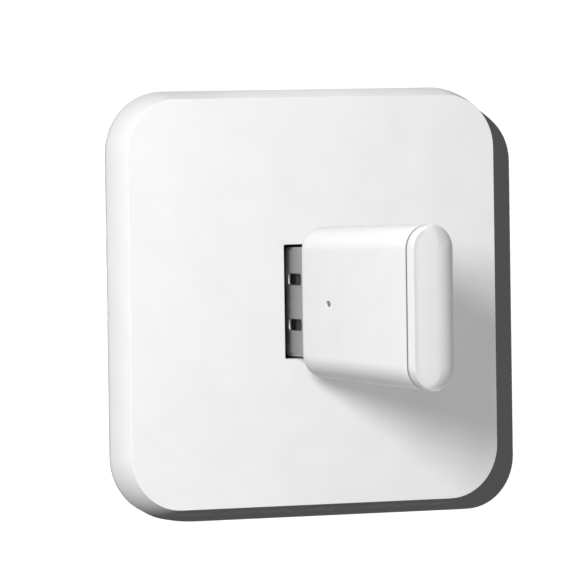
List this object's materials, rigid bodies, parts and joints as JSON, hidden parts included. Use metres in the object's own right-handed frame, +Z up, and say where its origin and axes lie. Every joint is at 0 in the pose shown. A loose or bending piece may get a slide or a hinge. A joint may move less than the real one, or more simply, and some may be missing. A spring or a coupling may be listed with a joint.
{
  "type": "signal repeater",
  "caption": "Radio signal repeater stick on a sliding joint in the port of a thin, rounded-square mains adapter for a recessed round wall socket.",
  "frame": {"origin": "middle of the plate's rear face, which rests on the wall socket", "axes": "+Y into the wall, along the contact pins; -Y out of the wall, along the stick; +Z up; +X to the right seen from the front"},
  "size_m": [0.0468, 0.0721, 0.0468],
  "materials": {
    "white_shell": "satin",
    "base_plastic": "matte",
    "plug_steel": "satin",
    "pin_metal": "satin",
    "contact_metal": "satin",
    "power_board": "satin",
    "radio_board": "satin",
    "ferrite": "matte",
    "bobbin_plastic": "matte",
    "winding_tape": "satin",
    "choke_wire": "satin",
    "can_sleeve": "satin",
    "resistor_coat": "matte",
    "disc_coat": "satin",
    "chip_mould": "matte",
    "chip_ceramic": "matte",
    "port_steel": "satin",
    "port_plastic": "matte",
    "plug_plastic": "matte",
    "can_steel": "satin",
    "crystal_lid": "satin",
    "antenna_ceramic": "matte",
    "led_resin": "clear",
    "switch_plastic": "matte",
    "switch_steel": "satin",
    "plunger_plastic": "matte"
  },
  "bodies": {
    "adapter": {"front_cover": "white_shell", "rear_base": "base_plastic", "live_pin": "pin_metal", "neutral_pin": "pin_metal", "live_contact_spring": "contact_metal", "neutral_contact_spring": "contact_metal", "main_board": "power_board", "transformer_core": "ferrite", "transformer_bobbin": "bobbin_plastic", "transformer_winding": "winding_tape", "input_capacitors": "can_sleeve", "output_capacitor": "can_sleeve", "fusible_resistor": "resistor_coat", "choke_core": "ferrite", "choke_winding": "choke_wire", "y_capacitor": "disc_coat", "bridge_rectifier": "chip_mould", "controller_chip": "chip_mould", "output_diode": "chip_mould", "board_chip_parts": "chip_ceramic", "port_shell": "port_steel", "port_insulator": "port_plastic", "port_contacts": "contact_metal"},
    "stick": {"dongle_body": "white_shell", "dongle_cap": "white_shell", "plug_shell": "plug_steel", "plug_insulator": "plug_plastic", "plug_contacts": "contact_metal", "radio_board": "radio_board", "shield_can": "can_steel", "radio_chip": "chip_mould", "memory_chip": "chip_mould", "crystal": "crystal_lid", "antenna": "antenna_ceramic", "voltage_regulator": "chip_mould", "status_led": "led_resin", "radio_chip_parts": "chip_ceramic", "reset_switch_housing": "switch_plastic", "reset_switch_cover": "switch_steel", "reset_switch_dome": "switch_steel"},
    "reset_button": {"reset_plunger": "plunger_plastic"}
  },
  "joints": [
    {"name": "stick_slide", "type": "slide", "parent": "adapter", "child": "stick", "axis": [0, -1, 0], "range_m": [-0.0036, 0.0087]},
    {"name": "reset_press", "type": "slide", "parent": "stick", "child": "reset_button", "axis": [1, 0, 0], "range_m": [0, 0.0002], "stiffness_N_per_m": 2000, "springref_m": -0.0002, "deforming": ["reset_switch_dome"]}
  ]
}
